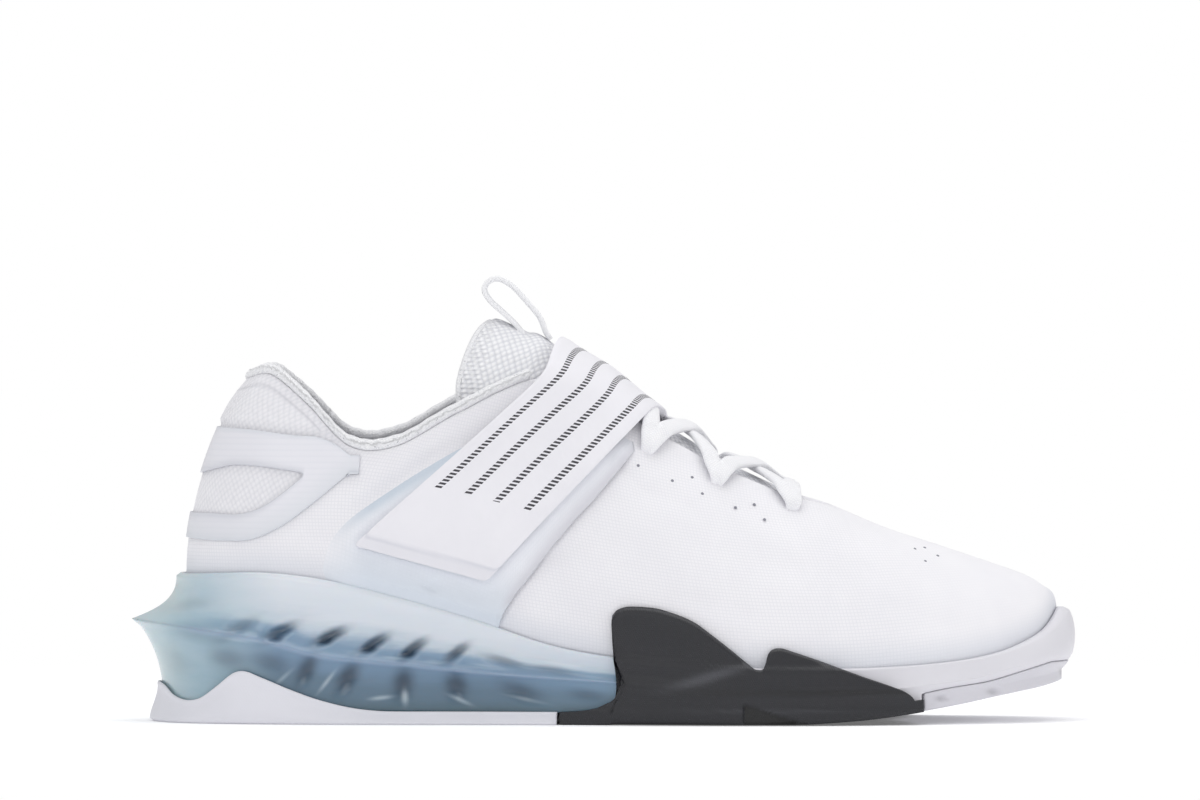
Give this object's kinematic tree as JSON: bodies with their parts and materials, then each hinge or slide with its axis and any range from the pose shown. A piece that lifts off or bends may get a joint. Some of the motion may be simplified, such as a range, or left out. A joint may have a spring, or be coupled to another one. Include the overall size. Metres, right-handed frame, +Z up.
{
  "type": "weightlifting shoe",
  "caption": "Low weightlifting shoe with a raised clear heel wedge, a hollow knit upper, a wide instep strap, laces and a rubber sole that climbs over the forefoot.",
  "frame": {"origin": "bottom centre of the bounding box, on the floor under the middle of the shoe", "axes": "+X to the toe, +Z up, -Y to the outer side of the foot"},
  "size_m": [0.3001, 0.1065, 0.1413],
  "materials": {
    "upper": "matt ripstop weave",
    "collar_binding": "ribbed knit",
    "heel_counter": "smooth bonded film",
    "wing_lateral": "smooth moulded film",
    "wing_medial": "smooth moulded film",
    "tongue": "padded spacer mesh",
    "strap": "woven strap",
    "pull_loop": "woven tape",
    "lace": "braided lace",
    "insole": "brushed lining",
    "midsole": "clear moulded wedge",
    "forefoot_midsole": "smooth foam",
    "heel_outsole": "smooth rubber",
    "forefoot_outsole": "ribbed rubber",
    "toe_outsole": "smooth rubber"
  },
  "bodies": {
    "root": {"upper": "upper", "collar_binding": "collar_binding", "heel_counter": "heel_counter", "wing_lateral": "wing_lateral", "wing_medial": "wing_medial", "tongue": "tongue", "strap": "strap", "pull_loop": "pull_loop", "lace": "lace", "insole": "insole", "midsole": "midsole", "forefoot_midsole": "forefoot_midsole", "heel_outsole": "heel_outsole", "forefoot_outsole": "forefoot_outsole", "toe_outsole": "toe_outsole"}
  },
  "joints": []
}
